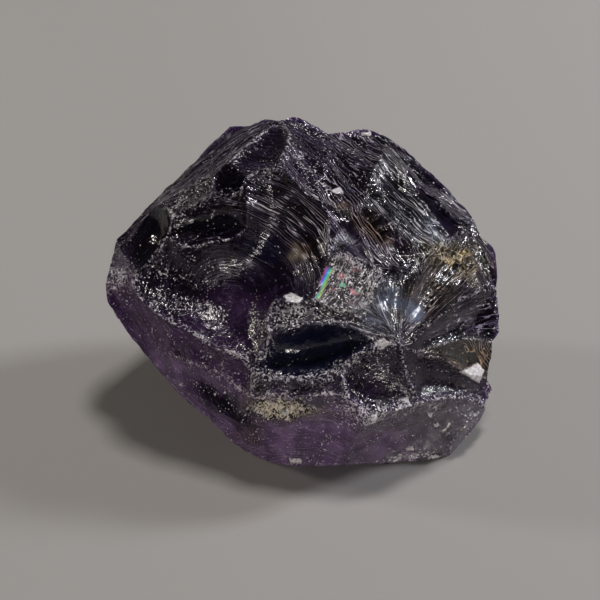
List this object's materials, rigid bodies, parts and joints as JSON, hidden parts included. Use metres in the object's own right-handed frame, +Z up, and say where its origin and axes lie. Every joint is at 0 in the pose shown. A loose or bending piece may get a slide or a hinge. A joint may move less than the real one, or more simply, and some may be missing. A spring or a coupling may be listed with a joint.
{
  "type": "rough amethyst",
  "caption": "Rough lump of dark purple quartz with glassy conchoidal scars and white crushed ridges, resting on a flat break.",
  "frame": {"origin": "on the surface that the stone rests on, under the middle of its bounding box", "axes": "+X along the stone's longest extent, to the right as it is seen with its great hollow in front; +Z up from the flat break that it rests on"},
  "size_m": [0.0552, 0.0426, 0.0359],
  "materials": {
    "amethyst": "glassy conchoidal breaks, with ridges crushed white"
  },
  "bodies": {
    "root": {"amethyst": "amethyst"}
  },
  "joints": []
}
